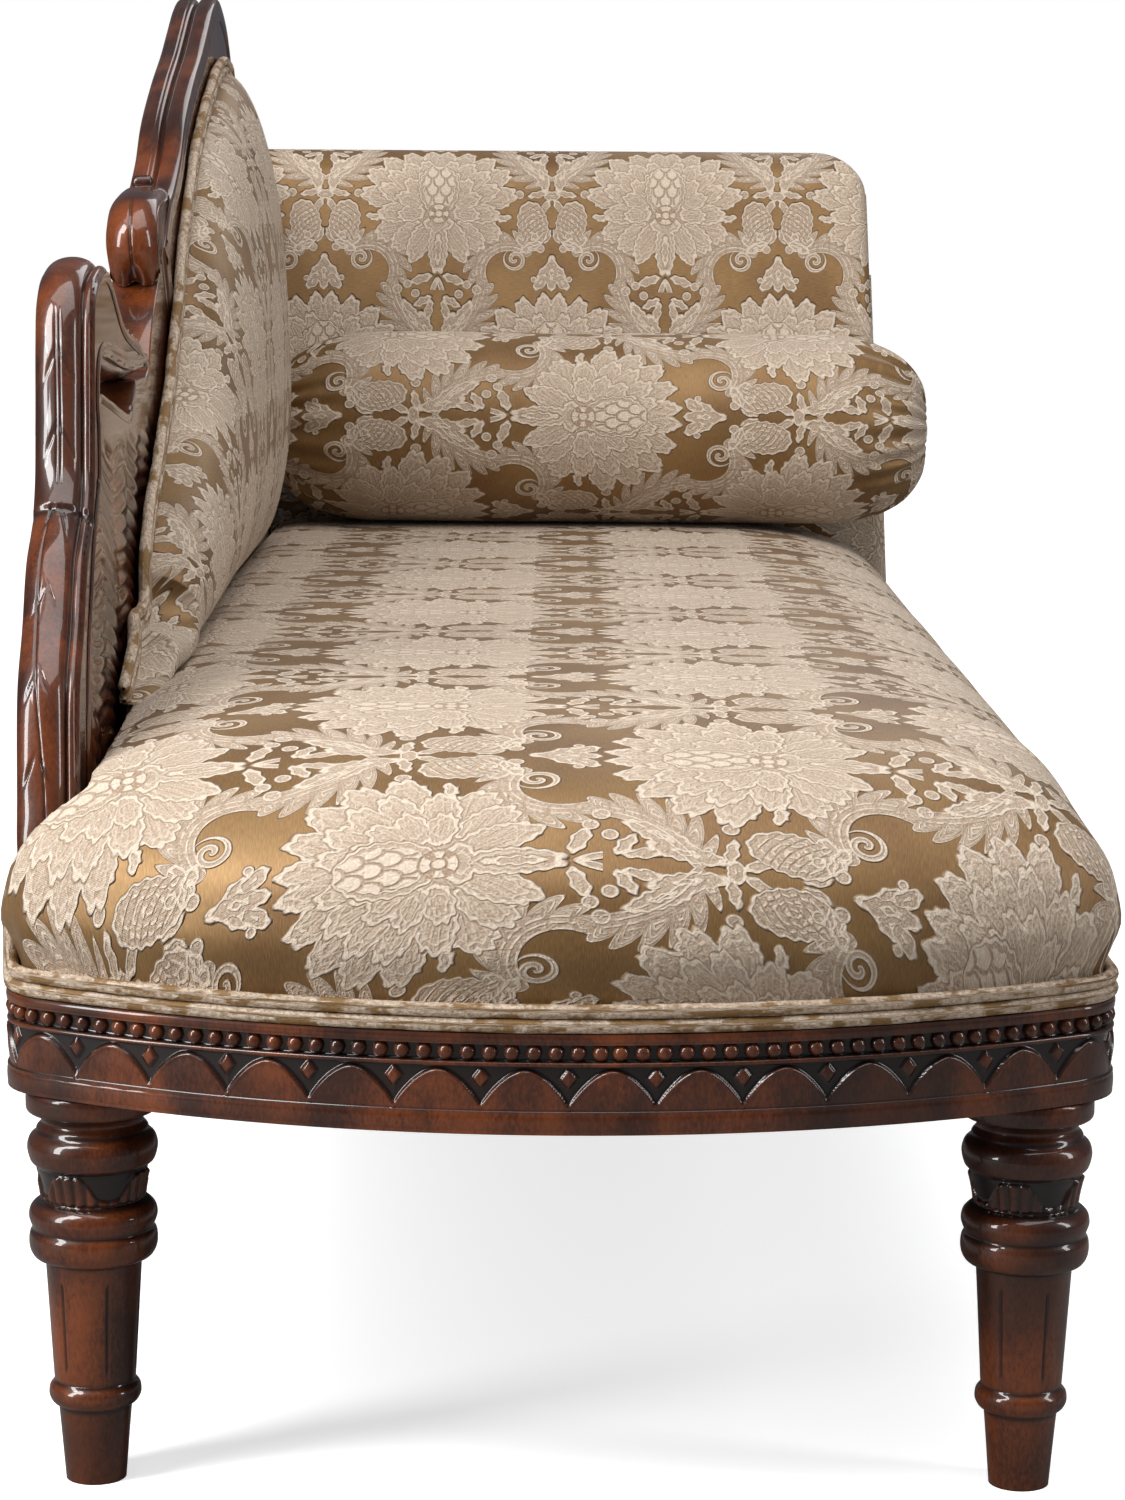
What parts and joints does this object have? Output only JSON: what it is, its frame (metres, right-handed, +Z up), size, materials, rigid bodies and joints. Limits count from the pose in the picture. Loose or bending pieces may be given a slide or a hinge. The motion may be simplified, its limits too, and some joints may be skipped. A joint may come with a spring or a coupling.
{
  "type": "chaise longue",
  "caption": "Chaise longue with a bowed carved seat frame on turned legs, a scrolled upholstered back along one side, a leaning rolled headrest and a loose bolster.",
  "frame": {"origin": "on the floor under the centre of the whole object's box", "axes": "+Y runs from the bowed foot end to the headrest, +X points from the carved back to the open side where the sitter gets on, +Z is up"},
  "size_m": [0.6858, 1.8, 0.9244],
  "materials": {
    "mahogany": "gloss",
    "frame_wood": "raw",
    "steel": "satin",
    "sacking": "matte",
    "stuffing": "matte",
    "damask": "satin",
    "lining": "matte"
  },
  "bodies": {
    "frame": {"foot_rail": "mahogany", "sitter_side_rail": "mahogany", "back_side_rail": "mahogany", "head_rail": "mahogany", "rail_dowels": "frame_wood", "corner_blocks": "frame_wood", "corner_block_screws": "steel", "leg_foot_left": "mahogany", "leg_foot_right": "mahogany", "leg_head_left": "mahogany", "leg_head_right": "mahogany", "leg_hanger_bolts": "steel", "leg_bolt_nuts": "steel", "seat_cross_braces": "frame_wood", "seat_head_bearer": "frame_wood", "back_seat_batten": "frame_wood", "seat_webbing_cross": "sacking", "seat_webbing_long": "sacking", "seat_hessian": "sacking", "seat_foam": "stuffing", "seat_cover": "damask", "seat_welt": "damask", "dust_cover": "lining", "scroll_post": "mahogany", "scroll_web": "mahogany", "leaf_volute": "mahogany", "crest_rail": "mahogany", "head_stile": "mahogany", "back_bottom_rail": "frame_wood", "back_frame_screws": "steel", "back_webbing": "sacking", "back_hessian": "sacking", "back_foam": "stuffing", "back_cover": "damask", "back_welt": "damask", "outer_back_cover": "damask", "headrest_ribs": "frame_wood", "headrest_roller": "frame_wood", "headrest_cross_rails": "frame_wood", "headrest_hessian": "sacking", "headrest_foam": "stuffing", "headrest_cover": "damask", "headrest_outer_cover": "damask", "headrest_screws": "steel"},
    "bolster": {"bolster_fill": "stuffing", "bolster_cover": "damask", "bolster_end_buttons": "damask"}
  },
  "joints": [
    {"name": "bolster_lift", "type": "slide", "parent": "frame", "child": "bolster", "axis": [0.2414, -0.0966, 0.9656], "range_m": [0, 0.5]}
  ]
}
